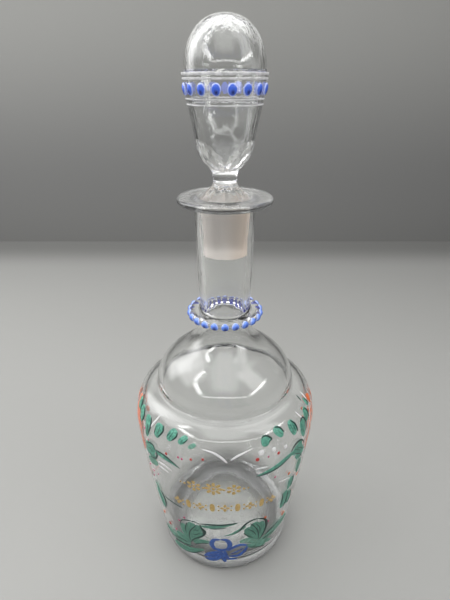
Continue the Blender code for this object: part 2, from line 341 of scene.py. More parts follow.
# The skin of hand-blown glass: slow waves, fine lines drawn up the piece, most in the neck, and a breath of
# handling marks
blown_skin, skin_in, skin_out = new_group(
    "blown_skin",
    [("Waves", "Float", 60.0), ("Drawn", "Float", 0.3)],
    [("Height", "Float"), ("Haze", "Float"), ("Tint", "Float")],
)
DRAWN_FROM, DRAWN_FULL, DRAWN_MOST = 178 * MM, 190 * MM, 7.0
place = object_place(blown_skin)
up = put(blown_skin, "SeparateXYZ", {0: place}).outputs["Z"]
waves = mottled(blown_skin, place, skin_in["Waves"], roughness=0.4)
lines = mottled(blown_skin, drawn_out(blown_skin, place, (1, 1, 0.07)), 420.0)
lines = worked(blown_skin, "MULTIPLY", lines, skin_in["Drawn"])
in_neck = graded(blown_skin, up, DRAWN_FROM, DRAWN_FULL, 1.0, DRAWN_MOST)
lines = worked(blown_skin, "MULTIPLY", lines, in_neck)
marks = mottled(blown_skin, place, 150.0, 5.0, 0.65)
skin = {
    "Height": worked(blown_skin, "ADD", waves, lines),
    "Haze": graded(blown_skin, marks, 0.5, 0.78, 0.0, 0.035),
    "Tint": mottled(blown_skin, place, 25.0, 1.0),
}
feed(blown_skin, skin_out, skin)

# The thick places, each as the distance from the axis or the height where it starts, and where it is full
FLOOR_END = (27, 32)
WALL_START = (43.2, 42.4)
CORNER_TOP = (24, 17)
STANDING_TOP = (15, 4)
UNDERSIDE = (5.5, 3)
UNDERSIDE_OUT = (20, 36)
HEEL_OUT = (30, 35)
HEEL_BAND = (13, 3)
RIM_OUT = (22.2, 23.6)
LIP_LOW = (231.5, 232.5)
LIP_HIGH = (236.2, 235.2)
SCUFFED_FOOT = (4.5, 2)
WORN_LIP = (236.2, 236.5)
WORN_LIP_END = (237.2, 236.9)
# Painted shade: the first colour on each of these two lines goes into the glass's own colour. It is grey in
# the thick corner inside the heel and in the standing ring, and near black under the foot, low on the heel
# and round the lip. The second colour on each line only dims shadow rays.
CORNER_PAINTED_SHADE, CORNER_SHADE = (0.6, 0.605, 0.605), (0.55, 0.55, 0.56)
EDGE_PAINTED_SHADE, EDGE_SHADE = (0.1, 0.103, 0.105), (0.2, 0.2, 0.21)
CLEAR_SHADE = (0.91, 0.915, 0.91)
SCUFFED_ROUGHNESS = 0.5
WORN_ROUGHNESS = 0.24
CORNER_ROUGHNESS = 0.13


def past(tree, *limits):
    """The share to which a place is past every limit, each a length with its (start, full) in millimetres."""
    shares = [graded(tree, value, start * MM, full * MM) for value, (start, full) in limits]
    product = shares[0]
    for share in shares[1:]:
        product = worked(tree, "MULTIPLY", product, share)
    return product


def up_and_out(tree):
    """The height of a place, and its distance from the axis."""
    at = put(tree, "SeparateXYZ", {0: object_place(tree)}).outputs
    squares = worked(tree, "MULTIPLY_ADD", at["Y"], at["Y"], worked(tree, "MULTIPLY", at["X"], at["X"]))
    return at["Z"], worked(tree, "POWER", squares, 0.5)


def edge_share(tree):
    """How much a place is an edge that is seen through its whole width: under the foot, and round the lip.
    The glass there takes painted shade, and shadow rays through it are dimmed.
    """
    up, out = up_and_out(tree)
    under = past(tree, (up, UNDERSIDE), (out, UNDERSIDE_OUT))
    heel = past(tree, (out, HEEL_OUT), (up, HEEL_BAND))
    rim = past(tree, (out, RIM_OUT), (up, LIP_LOW), (up, LIP_HIGH))
    return largest(tree, under, heel, rim)


def corner_share(tree):
    """How much a place is thick glass: the corner inside the heel, and the standing ring. The glass there
    takes painted shade, and shadow rays through it are dimmed.
    """
    up, out = up_and_out(tree)
    inside = past(tree, (out, FLOOR_END), (out, WALL_START), (up, CORNER_TOP))
    return largest(tree, inside, past(tree, (up, STANDING_TOP), (out, FLOOR_END)))


def let_light_through(tree, shader, through):
    """Shadow rays pass straight on, dimmed, and most in the thick places, which bend the light away."""
    dimmed = blend(tree, corner_share(tree), through, CORNER_SHADE)
    dimmed = blend(tree, edge_share(tree), dimmed, EDGE_SHADE)
    clear = put(tree, "BsdfTransparent", {"Color": dimmed}).outputs["BSDF"]
    shadow_ray = put(tree, "LightPath").outputs["Is Shadow Ray"]
    mix = put(tree, "MixShader", {0: shadow_ray, 1: shader.outputs["BSDF"], 2: clear})
    tree.links.new(mix.outputs["Shader"], tree.nodes["Material Output"].inputs["Surface"])


GLASS_IOR = 1.51
GLASS_TINTS = ((0.985, 0.99, 0.985), (0.965, 0.97, 0.965))
SKIN_DEPTH = 0.12
clear_glass, tree, shader = new_material("clear_glass")
skin = put(tree, "Group", {"Waves": 55.0, "Drawn": 0.25}, node_tree=blown_skin).outputs
up = up_and_out(tree)[0]
corner = corner_share(tree)
tinted = blend(tree, skin["Tint"], *GLASS_TINTS)
# Painted shade: the glass is greyed in its thick corner and standing ring, and darkened near black under the
# foot, low on the heel and round the lip.
tint_with_painted_shade = blend(tree, corner, tinted, CORNER_PAINTED_SHADE)
scuffed = worked(tree, "MULTIPLY", past(tree, (up, SCUFFED_FOOT)), SCUFFED_ROUGHNESS)
worn = worked(tree, "MULTIPLY", past(tree, (up, WORN_LIP), (up, WORN_LIP_END)), WORN_ROUGHNESS)
softened = worked(tree, "MULTIPLY", corner, CORNER_ROUGHNESS)
look = {
    "Base Color": blend(tree, edge_share(tree), tint_with_painted_shade, EDGE_PAINTED_SHADE),
    "Roughness": largest(tree, skin["Haze"], scuffed, worn, softened),
    "Normal": bumped(tree, 1.0, SKIN_DEPTH, skin["Height"]),
    "Transmission Weight": 1.0,
    "IOR": GLASS_IOR,
}
feed(tree, shader, look)
let_light_through(tree, shader, CLEAR_SHADE)

bm = turned(joined(outside_run(), straight(joint_top, joint_end, 12), inside_run()[::-1]), BOTTLE_SIDES)
for vert in bm.verts:
    out = Vector((vert.co.x, vert.co.y, 0))
    if out.length > MM:
        vert.co += out.normalized() * wavering(vert.co)
bottle_glass = piece("bottle_glass", bm, "bottle", "clear_glass", clear_glass)
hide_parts("bottle", "neck_ring")

# Stopper
# Blown as a hollow balloon on a short stem, then fused to a solid cone whose lower part is ground to fit the
# mouth. A fine seam shows where the two halves meet. Their heights are rises above the lip.
SEAM_RISE = 6.6
SEAM_GAP = 0.3
SEAM_SOFTNESS = 0.5
WAIST_RADIUS = 6.1
WAIST_RISE = 9.4
CUP = (14.4, 25.4)
LEDGE_RADIUS = 19.9
LEDGE_RISE = 55.9
LEDGE_WIDTH = 1.0
LEDGE_STEP = 0.5
CROWN_RISE = 79.4
BOWL_WALL = 1.8
CAVITY_RISE = 13.4
FLUTES = 8
FLUTE_DEPTH = 0.06
FLUTE_RISE = 17
FLUTE_REACH = 5
JOINT_CLEARANCE = 0.3
PLUG_TIP_ROUND = 1
SHANK = (6.9, 4.9)
PLUG_EDGE_SOFTNESS = 0.9
SHANK_SOFTNESS = 0.8
FACETS = 10
FACET_DEPTH = 3.2
FACET_START = -1
FACET_END = 5.2
FACET_FADE = 1.5
FROST_TOP = -5.6
FROST_INNER_RADIUS = 11
STOPPER_SIDES = 128


def lifted(points):
    """Rises above the lip, as heights above the table."""
    return [(radius, height + BOTTLE_HEIGHT) for radius, height in points]


waist = (WAIST_RADIUS, WAIST_RISE)
seam_edge = (WAIST_RADIUS, SEAM_RISE)
ledge_foot = (LEDGE_RADIUS, LEDGE_RISE)
crown_foot = (LEDGE_RADIUS - LEDGE_WIDTH, LEDGE_RISE + LEDGE_STEP)
flare_run = curve(waist, CUP, ((0.024, 0.375), (0.88, 0.406)), 24)
cup_run = curve(CUP, ledge_foot, ((0.127, 0.23), (0.69, 0.557)), 36)
crown_run = curve(crown_foot, (0, CROWN_RISE), ((-0.021, 0.565), (0.365, 1)), 40)
foot_run = joined(straight((0, SEAM_RISE), seam_edge, 6), straight(seam_edge, waist, 3))
bowl_outside = eased(joined(foot_run, flare_run, cup_run, crown_run), seam_edge, SEAM_SOFTNESS)
bm = turned(lifted(bowl_outside), STOPPER_SIDES)
inner_cup = inset(cup_run, repeat(BOWL_WALL))[6:]
inner_crown = inset(crown_run, repeat(BOWL_WALL))[1:]
cavity_foot = curve((0, CAVITY_RISE), inner_cup[0], ((0.42, 0.08), (0.93, 0.5)), 22)
cavity = turned(lifted(joined(cavity_foot, inner_cup, inner_crown)), STOPPER_SIDES)
for vert in cavity.verts:
    rise = vert.co.z / MM - BOTTLE_HEIGHT
    flute = max(0, 1 - abs(rise - FLUTE_RISE) / FLUTE_REACH)
    vert.co.xy *= 1 + FLUTE_DEPTH * flute * math.cos(FLUTES * math.atan2(vert.co.y, vert.co.x))
bmesh.ops.reverse_faces(cavity, faces=cavity.faces)
hollow = bpy.data.meshes.new("hollow")
cavity.to_mesh(hollow)
cavity.free()
bm.from_mesh(hollow)
bpy.data.meshes.remove(hollow)
stopper_bowl_glass = piece("stopper_bowl_glass", bm, "stopper", "clear_glass", clear_glass)
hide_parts("stopper_bowl")

# The ground taper of the plug: wheel-cut glass, frosted, streaked up its side, and a little tan to the right,
# which is a painted reflection of its surroundings
WHEEL_GREYS = ((0.62, 0.56, 0.53), (0.97, 0.93, 0.91))
PAINTED_TAN_REFLECTION = (0.56, 0.44, 0.35)
TAN_REFLECTION_START, TAN_REFLECTION_FULL = -4, 11
GRIT_DEPTH = 0.06
FROST_SHADE = (0.6, 0.58, 0.56)
ground_glass, tree, shader = new_material("ground_glass")
place = object_place(tree)
across = put(tree, "SeparateXYZ", {0: place}).outputs["X"]
streaks = mottled(tree, drawn_out(tree, place, (1, 1, 0.05)), 170.0, 3.0)
wheel_grey = blend(tree, streaks, *WHEEL_GREYS)
# Painted reflection: tan towards the right side of the plug.
painted_reflection_side = graded(tree, across, TAN_REFLECTION_START * MM, TAN_REFLECTION_FULL * MM, smooth=True)
look = {
    "Base Color": blend(tree, painted_reflection_side, wheel_grey, PAINTED_TAN_REFLECTION),
    "Roughness": graded(tree, streaks, 0.3, 0.7, 0.42, 0.6),
    "Normal": bumped(tree, 0.5, GRIT_DEPTH, mottled(tree, place, 2600.0)),
    "Transmission Weight": 0.93,
    "IOR": GLASS_IOR,
}
feed(tree, shader, look)
let_light_through(tree, shader, FROST_SHADE)

tip = -MOUTH_ROUND - JOINT_LENGTH
plug_end = JOINT_END_RADIUS - JOINT_CLEARANCE
plug_edge = (JOINT_TOP_RADIUS - JOINT_CLEARANCE, -MOUTH_ROUND)
tip_edge = plug_end - PLUG_TIP_ROUND
cone_top = (WAIST_RADIUS, SEAM_RISE - SEAM_GAP)
plug_profile = joined(
    straight((0, tip), (tip_edge, tip), 6),
    arc((tip_edge, tip + PLUG_TIP_ROUND), (PLUG_TIP_ROUND, PLUG_TIP_ROUND), -90, 0, 6),
    straight((plug_end, tip + PLUG_TIP_ROUND), plug_edge, 20),
    straight(plug_edge, SHANK, 10),
    straight(SHANK, cone_top, 3),
    straight(cone_top, (0, cone_top[1]), 6),
)
plug_profile = eased(eased(plug_profile, plug_edge, PLUG_EDGE_SOFTNESS), SHANK, SHANK_SOFTNESS)
bm = turned(lifted(plug_profile), STOPPER_SIDES)
half_facet = math.pi / FACETS
for vert in bm.verts:
    rise = vert.co.z / MM - BOTTLE_HEIGHT
    cut = min(max((rise - FACET_START) / FACET_FADE, 0), 1) * min(max((FACET_END - rise) / FACET_FADE, 0), 1)
    from_facet = (math.atan2(vert.co.y, vert.co.x) + half_facet) % (2 * half_facet) - half_facet
    vert.co.xy *= 1 - FACET_DEPTH * cut * (1 - math.cos(half_facet) / math.cos(from_facet))
for face in bm.faces:
    middle = face.calc_center_median() / MM
    is_side = math.hypot(middle.x, middle.y) > FROST_INNER_RADIUS
    face.material_index = int(is_side and middle.z < BOTTLE_HEIGHT + FROST_TOP)
stopper_plug_glass = piece("stopper_plug_glass", bm, "stopper", "ground_glass", clear_glass, ground_glass)
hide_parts("stopper_plug")

# Enamel beads
# Drops of thick blue enamel, set one by one while the piece turned on a wheel, then fired on. Those round
# the stopper are ovals with a pale rim; those on the neck ring are rounder and nearly touch.
ENAMEL_SINK = 0.08
RING_BEADS = 22
RING_BEAD_SIZE = (4.3, 5.0, 1.5)
RING_BEAD_DROP = 0.8
BOWL_BEADS = 17
BOWL_BEAD_SIZE = (4.4, 5.4, 1.1)
BOWL_BEAD_DROP = 6.5
BOWL_BEAD_TURN = 1
RAGGEDNESS = 0.12
RIM_FADE = 0.12
SHADE_MIDDLE = 0.05
BACK_START, BACK_FULL = 0.12, -0.05
BEAD_SIDES, BEAD_BANDS = 20, 14

bead_paint, bead_in, bead_out = new_group(
    "bead_paint",
    [
        ("Rim", "Color", (0.6, 0.6, 0.9, 1)),
        ("Core", "Color", (0.06, 0.14, 0.75, 1)),
        ("Deep", "Color", (0.01, 0.03, 0.25, 1)),
        ("Back", "Color", (0.05, 0.06, 0.3, 1)),
        ("Rim Start", "Float", 0.7),
        ("Shade Size", "Float", 0.5),
        ("Shade Place", "Vector", (0.06, -0.36, 0)),
    ],
    [("Color", "Color"), ("Roughness", "Float"), ("Height", "Float")],
)
spot = put(bead_paint, "Attribute", attribute_name="bead_place").outputs["Vector"]
flat = put(bead_paint, "VectorMath", {0: spot, 1: (1, 1, 0)}, operation="MULTIPLY").outputs["Vector"]
from_middle = put(bead_paint, "VectorMath", {0: flat}, operation="LENGTH").outputs["Value"]
both = {0: flat, 1: bead_in["Shade Place"]}
to_deep = put(bead_paint, "VectorMath", both, operation="DISTANCE").outputs["Value"]
wobble = mottled(bead_paint, object_place(bead_paint), 900.0)
ragged = worked(bead_paint, "ADD", from_middle, graded(bead_paint, wobble, 0.0, 1.0, -RAGGEDNESS, RAGGEDNESS))
rim_full = worked(bead_paint, "ADD", bead_in["Rim Start"], RIM_FADE)
rim = graded(bead_paint, ragged, bead_in["Rim Start"], rim_full, smooth=True)
# Painted shade: each bead darkens towards a spot below its middle.
deep = graded(bead_paint, to_deep, bead_in["Shade Size"], SHADE_MIDDLE, smooth=True)
out = put(bead_paint, "SeparateXYZ", {0: spot}).outputs["Z"]
front = blend(bead_paint, rim, blend(bead_paint, deep, bead_in["Core"], bead_in["Deep"]), bead_in["Rim"])
behind = graded(bead_paint, out, BACK_START, BACK_FULL)
look = {
    "Color": blend(bead_paint, behind, front, bead_in["Back"]),
    "Roughness": graded(bead_paint, wobble, 0.0, 1.0, 0.16, 0.34),
    "Height": wobble,
}
feed(bead_paint, bead_out, look)


def bead_material(name, rim_start, deep_size, deep_place, **colours):
    """Glossy enamel: a rim, a core that darkens towards a spot of painted shade below its middle, and a back
    that shows through the glass.
    """
    material, tree, shader = new_material(name)
    values = {label.title(): (*colour, 1) for label, colour in colours.items()}
    values |= {"Rim Start": rim_start, "Shade Size": deep_size, "Shade Place": deep_place}
    paint = put(tree, "Group", values, node_tree=bead_paint).outputs
    look = {
        "Base Color": paint["Color"],
        "Roughness": paint["Roughness"],
        "Normal": bumped(tree, 0.35, 0.1, paint["Height"]),
        "Coat Weight": 0.4,
        "Coat Roughness": 0.12,
    }
    feed(tree, shader, look)
    return material


def crossing(points, height):
    """The radius at a height on a run that only rises."""
    for low, high in zip(points, points[1:]):
        if low[1] <= height <= high[1]:
            return low[0] + (high[0] - low[0]) * (height - low[1]) / (high[1] - low[1])
    return points[-1][0]


def on_the_cup(rise, lift, span):
    """A place on the stopper's cup, raised off it by lift, with its slope taken over a span of heights."""
    lean = crossing(cup_run, rise + span / 2) - crossing(cup_run, rise - span / 2)
    slope = Vector((lean, span)).normalized()
    return (crossing(cup_run, rise) + slope.y * lift, BOTTLE_HEIGHT + rise - slope.x * lift)


def bowl_seat(up, lift):
    """Radius and height of a place on the cup, a little up from the middle of the row of beads."""
    return on_the_cup(LEDGE_RISE - BOWL_BEAD_DROP + up, lift, 1)


def ring_seat(up, lift):
    """The same on the neck ring, where up follows its bulge."""
    turn = (up - RING_BEAD_DROP) / RING_HALF_HEIGHT
    radius = RING_CORE_RADIUS + (RING_BULGE + lift) * math.cos(turn)
    return (radius, RING_HEIGHT + (RING_HALF_HEIGHT + lift) * math.sin(turn))


def bead(name, size, angle, seat, body, material):
    """One drop whose back is sunk a little into the glass it was fired on, at an angle from the front."""
    width, height, rise = size
    radius_here = seat(0, 0)[0]
    bm = bmesh.new()
    spot = bm.verts.layers.float_vector.new("bead_place")
    bmesh.ops.create_uvsphere(bm, u_segments=BEAD_SIDES, v_segments=BEAD_BANDS, radius=1)
    for vert in bm.verts:
        across, up, out = vert.co
        vert[spot] = (across, up, out)
        radius, level = seat(up * height / 2, rise * max(out, 0) + ENAMEL_SINK * min(out, 0))
        around = math.radians(angle) + across * width / 2 / radius_here
        vert.co = Vector((radius * math.sin(around), -radius * math.cos(around), level)) * MM
    bmesh.ops.recalc_face_normals(bm, faces=bm.faces)
    enamel_bead = piece(f"{name}_enamel", bm, body, "blue_enamel", material)
    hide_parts(name)


ring_blue = bead_material(
    "ring_blue",
    rim_start=0.8,
    deep_size=0.8,
    deep_place=(0.12, -0.05, 0),
    rim=(0.4, 0.5, 0.9),
    core=(0.13, 0.26, 0.82),
    deep=(0.012, 0.035, 0.26),
    back=(0.05, 0.06, 0.3),
)
bowl_blue = bead_material(
    "bowl_blue",
    rim_start=0.76,
    deep_size=0.6,
    deep_place=(0.06, -0.36, 0),
    rim=(0.42, 0.5, 0.9),
    core=(0.06, 0.15, 0.76),
    deep=(0.006, 0.02, 0.18),
    back=(0.25, 0.3, 0.7),
)
for index in range(RING_BEADS):
    angle = 360 * index / RING_BEADS
    bead(f"ring_bead_{index + 1:02d}", RING_BEAD_SIZE, angle, ring_seat, "bottle", ring_blue)
for index in range(BOWL_BEADS):
    angle = 360 * (index + 0.5) / BOWL_BEADS - BOWL_BEAD_TURN
    bead(f"bowl_bead_{index + 1:02d}", BOWL_BEAD_SIZE, angle, bowl_seat, "stopper", bowl_blue)

# Painted strokes
# Thin enamel laid on with a pointed brush and fired: each stroke is a low mound that follows the glass, thick
# where the brush was pressed and thin at its tail, with the streaks of its hairs along it.
STROKE_SIDES = 10
LEAST_RINGS, RINGS_A_KNOT = 8, 4
STROKE_AHEAD = 0.02
PAINT_LOW, PAINT_TOP = 1, 118
# How much of the pattern of hairs a stroke takes up for each knot, and how far one stroke lies from the next
PATTERN_LENGTH = 10
PATTERN_SHIFT = 7.3
HAIR_EDGES = (0.4, 0.6)
DRY_EDGES = (0.16, 0.34)

brush_marks, brush_in, brush_out = new_group(
    "brush_marks",
    [
        ("Light", "Color", (0.3, 0.5, 0.4, 1)),
        ("Dark", "Color", (0.05, 0.2, 0.15, 1)),
        ("Hairs", "Float", 2.2),
        ("Bare", "Float", 0.3),
    ],
    [("Color", "Color"), ("Alpha", "Float"), ("Height", "Float"), ("Roughness", "Float")],
)
lay = put(brush_marks, "Attribute", attribute_name="brush_place").outputs["Vector"]
hairs = mottled(brush_marks, drawn_out(brush_marks, lay, (1, 0.11, 1)), brush_in["Hairs"], 3.0, 0.6)
pressed = graded(brush_marks, hairs, *HAIR_EDGES)
load = mottled(brush_marks, lay, 0.35, 1.0)
thin = graded(brush_marks, worked(brush_marks, "MULTIPLY", hairs, load), *DRY_EDGES)
see_through = worked(brush_marks, "MULTIPLY", thin, brush_in["Bare"])
look = {
    "Color": blend(brush_marks, pressed, brush_in["Dark"], brush_in["Light"]),
    "Alpha": worked(brush_marks, "SUBTRACT", 1.0, see_through, use_clamp=True),
    "Height": hairs,
    "Roughness": graded(brush_marks, hairs, 0.0, 1.0, 0.3, 0.6),
}
feed(brush_marks, brush_out, look)


def enamel(name, light, dark, hairs=2.2, bare=0.3, metallic=0.0):
    """Brushed enamel between a light and a dark colour, bare where the brush ran dry."""
    material, tree, shader = new_material(name)
    values = {"Light": (*light, 1), "Dark": (*dark, 1), "Hairs": hairs, "Bare": bare}
    marks = put(tree, "Group", values, node_tree=brush_marks).outputs
    look = {
        "Base Color": marks["Color"],
        "Alpha": marks["Alpha"],
        "Roughness": marks["Roughness"],
        "Normal": bumped(tree, 0.6, 0.12, marks["Height"]),
        "Metallic": metallic,
    }
    feed(tree, shader, look)
    return material


body_outside = joined(heel_run, body_run)
body_lengths = [0.0]
for low, high in zip(body_outside, body_outside[1:]):
    body_lengths.append(body_lengths[-1] + math.dist(low, high))


def up_the_body(height):
    """How far up the curve of the wall a height lies, measured along the glass."""
    for index, (low, high) in enumerate(zip(body_outside, body_outside[1:])):
        if height <= high[1]:
            share = (height - low[1]) / max(high[1] - low[1], SAME_POINT)
            return body_lengths[index] + (body_lengths[index + 1] - body_lengths[index]) * share
    return body_lengths[-1]


def on_the_body(angle, length, lift):
    """A place on the glass from an angle and a length up the wall, raised off it by lift."""
    index = max(i for i, reach in enumerate(body_lengths[:-1]) if reach <= max(length, 0))
    low, high = body_outside[index], body_outside[index + 1]
    span = body_lengths[index + 1] - body_lengths[index]
    share = min((length - body_lengths[index]) / span, 1)
    slope = Vector((high[0] - low[0], high[1] - low[1])).normalized()
    radius = low[0] + (high[0] - low[0]) * share
    height = low[1] + (high[1] - low[1]) * share
    around = math.radians(angle)
    outwards = Vector((math.sin(around), -math.cos(around), 0))
    skin = outwards * radius * MM + Vector((0, 0, height * MM))
    skin += outwards * wavering(skin)
    return skin + (outwards * slope.y + Vector((0, 0, -slope.x))) * lift * MM


def smooth_way(knots, t):
    """A place on the smooth line through the knots, at a share t of its way."""
    reach = t * (len(knots) - 1)
    index = min(int(reach), len(knots) - 2)
    f = reach - index
    before = knots[max(index - 1, 0)]
    start, end = knots[index], knots[index + 1]
    after = knots[min(index + 2, len(knots) - 1)]
    return tuple(
        0.5 * (2 * b + (c - a) * f + (2 * a - 5 * b + 4 * c - d) * f**2 + (3 * b - a - 3 * c + d) * f**3)
        for a, b, c, d in zip(before, start, end, after)
    )


class Brush:
    """Collects the strokes of one colour in a bmesh."""

    def __init__(self, name):
        self.name = name
        self.bm = bmesh.new()
        self.place = self.bm.verts.layers.float_vector.new("brush_place")
        self.count = 0

    def stroke(self, knots, width, rise, ends=(1.0, 1.0), rings=LEAST_RINGS):
        """One stroke through knots of (angle, height), with its width's shares at its two ends."""
        line = [(angle, up_the_body(height)) for angle, height in knots]
        ball = bmesh.ops.create_uvsphere(self.bm, u_segments=STROKE_SIDES, v_segments=rings, radius=1)
        self.count += 1
        for vert in ball["verts"]:
            across, out, way = vert.co
            t = (1 + way) / 2
            angle, length = smooth_way(line, t)
            ahead, ahead_length = smooth_way(line, min(t + STROKE_AHEAD, 1))
            behind, behind_length = smooth_way(line, max(t - STROKE_AHEAD, 0))
            # A length up this steep wall is near enough its height to find the radius by
            radius = crossing(body_outside, min(max(length, PAINT_LOW), PAINT_TOP))
            along = Vector((math.radians(ahead - behind) * radius, ahead_length - behind_length)).normalized()
            half = width / 2 * across * (ends[0] + (ends[1] - ends[0]) * t)
            side_angle = angle + math.degrees(along.y * half / radius)
            side_length = length - along.x * half
            lift = rise * max(out, 0) + ENAMEL_SINK * min(out, 0)
            vert[self.place] = (half, t * PATTERN_LENGTH * len(knots), self.count * PATTERN_SHIFT)
            vert.co = on_the_body(side_angle, side_length, lift)

    def strokes(self, *rows, rise=0.24, ends=(1.0, 0.85), broader=1.0):
        """Several strokes at one rise, each a row of knots and width, with shares of its own at need."""
        for knots, width, *shares in rows:
            own_ends = shares[0] if shares else ends
            rings = LEAST_RINGS + RINGS_A_KNOT * len(knots)
            self.stroke(knots, width * broader, rise, own_ends, rings)

    def dot(self, angle, height, size, rise=0.25):
        self.stroke([(angle, height - size / 2), (angle, height + size / 2)], size, rise)

    def done(self, slot, material):
        bmesh.ops.recalc_face_normals(self.bm, faces=self.bm.faces)
        piece(self.name, self.bm, "bottle", slot, material)


# Green leaves
# Two garlands climb from the front to the sides under the shoulder, with a spray below each and a broad
# pair at the foot. They are teal enamel, shaded with a darker line while it was wet.
SHADING_RISE = 0.34
THIN_RISE = 0.16
leaf_green = enamel("leaf_green", (0.2, 0.56, 0.41), (0.015, 0.13, 0.1), hairs=2.5, bare=0.24)
foot_green = enamel("foot_green", (0.13, 0.34, 0.25), (0.05, 0.19, 0.14), hairs=1.2, bare=0.15)
pale_green = enamel("pale_green", (0.19, 0.42, 0.32), (0.1, 0.28, 0.21), hairs=1.2, bare=0.5)
line_green = enamel("line_green", (0.008, 0.05, 0.04), (0.003, 0.022, 0.018), hairs=3.5, bare=0.1)

leaves = Brush("garland_leaves")
leaves.strokes(
    ([(-76, 119), (-73.5, 115.5), (-71, 112)], 6.4),
    ([(-67, 118.5), (-65.5, 114), (-64, 109.5)], 6.6),
    ([(-57.4, 118), (-54.8, 113), (-55.1, 105.2)], 6.4),
    ([(-44.3, 119), (-44.1, 115.6), (-45.6, 110.8)], 7.0),
    ([(-31.4, 120), (-33.5, 117.1), (-35.8, 113.6)], 5.8),
    ([(-23.2, 119), (-25.8, 116.6), (-28.2, 114.6)], 4.2),
    ([(25.8, 119.2), (24.5, 116.9), (23.4, 114)], 6.2),
    ([(32.2, 120.8), (34.3, 118.5), (36.5, 115.4)], 5.4),
    ([(44.7, 120.2), (45.6, 116.4), (47, 111.6)], 6.0),
    ([(56.5, 116.5), (55.3, 111.2), (56.4, 104.4)], 6.6),
    ([(63.2, 119.2), (62.4, 115.4), (62.7, 111.2)], 5.6),
    ([(69.2, 121.2), (69.4, 119), (70.3, 116.6)], 3.4),
    ends=(1.05, 0.8),
)
leaves.done("green_enamel", leaf_green)

sprays = Brush("spray_leaves")
# The left spray and the leaf below it
sprays.strokes(
    ([(-57.3, 97.6), (-51.1, 100), (-46.1, 99)], 7.4),
    ([(-58.3, 93), (-52.1, 95), (-46.6, 95.8)], 7.0),
    ([(-45.7, 100), (-39.2, 100.4), (-33.3, 99.8), (-27.1, 98.1)], 3.8, (1.05, 0.3)),
    ([(-55.2, 61), (-52.7, 54), (-50.8, 45.6)], 6.6),
)
# The right spray and the leaves below it
sprays.strokes(
    ([(54.4, 101.4), (49.4, 100.4), (44, 98.6)], 8.4),
    ([(57.4, 95.8), (54.3, 92.6), (49.4, 91.4)], 8.0),
    ([(55, 99), (52, 95.6), (48, 93)], 6.0),
    ([(45.6, 100.4), (38.4, 99.2), (31.3, 97.4), (24.4, 96.2), (18.6, 95.4)], 5.0, (1.1, 0.25)),
    ([(47.7, 77), (48.5, 71), (47.9, 66)], 6.0),
    ([(45.2, 66.4), (45.6, 57.7), (44.5, 50)], 6.6),
    ([(51, 62), (52, 54), (50.2, 49.6)], 6.0),
)
sprays.done("green_enamel", leaf_green)

foot_leaves = Brush("foot_leaves")
foot_leaves.strokes(
    ([(-27.3, 27), (-30.4, 34), (-31.6, 43.4)], 8.4, (0.6, 1.2)),
    ([(-27, 27), (-26.1, 37.6), (-23.3, 49.4)], 8.4, (0.5, 1.2)),
    ([(-26.6, 28), (-21.7, 39), (-18, 49)], 6.6, (0.6, 1.2)),
    ([(-25.7, 29.6), (-20.4, 37), (-15.4, 41.8)], 6.2, (0.7, 1.0)),
    ([(-28, 24.6), (-34.1, 27), (-42.4, 26)], 7.0, (0.8, 1.0)),
    ([(-17.4, 48.8), (-9.7, 49.9), (-1, 51.6), (8.4, 54.3)], 3.8, (1.05, 0.3)),
    ([(26.5, 29.4), (20.1, 38), (15.6, 47.4)], 7.6, (0.5, 1.1)),
    ([(26.6, 29.4), (23.4, 41), (20.6, 51)], 8.0, (0.5, 1.15)),
    ([(27, 29.6), (27.6, 38.5), (25.6, 49.2)], 8.0, (0.5, 1.1)),
    ([(25.4, 31.6), (19.4, 38.6), (14.6, 43.4)], 5.6, (0.7, 1.0)),
    ([(-1, 41.4), (4.9, 43.2), (10.1, 46.4), (14.6, 49.6)], 3.2, (0.3, 1.1)),
    ([(-50, 9.6), (-39.1, 12), (-28.5, 15.6), (-17, 22)], 7.8, (1.0, 0.6)),
    ([(-25, 26.6), (-18.1, 31.4), (-11.2, 33)], 4.4),
)
foot_leaves.done("green_enamel", foot_green)

pale = Brush("thin_leaves")
pale.strokes(
    ([(-17.2, 116.6), (-19.5, 115.1), (-21.6, 113.8)], 2.8),
    ([(-57.3, 85.5), (-50.5, 89), (-45.3, 90.8)], 6.8),
    ([(-55.6, 66.4), (-53.9, 63.4), (-52, 60)], 4.2),
    ([(54.3, 88), (56, 81), (55.9, 75)], 6.2),
    ([(-62, 16.5), (-47, 20), (-36, 21.6), (-28, 22.4)], 8.0, (1.0, 0.6)),
    ([(29.8, 26.6), (37.3, 29), (45.7, 31), (59, 31)], 10.2, (0.7, 1.0)),
    ([(10.8, 33.2), (18.5, 32.6), (28, 26.4), (41, 19)], 6.4),
    ([(15.8, 28.4), (24.7, 22.8), (34.8, 19)], 4.6),
    rise=THIN_RISE,
)
pale.done("green_enamel", pale_green)

shading = Brush("leaf_shading")
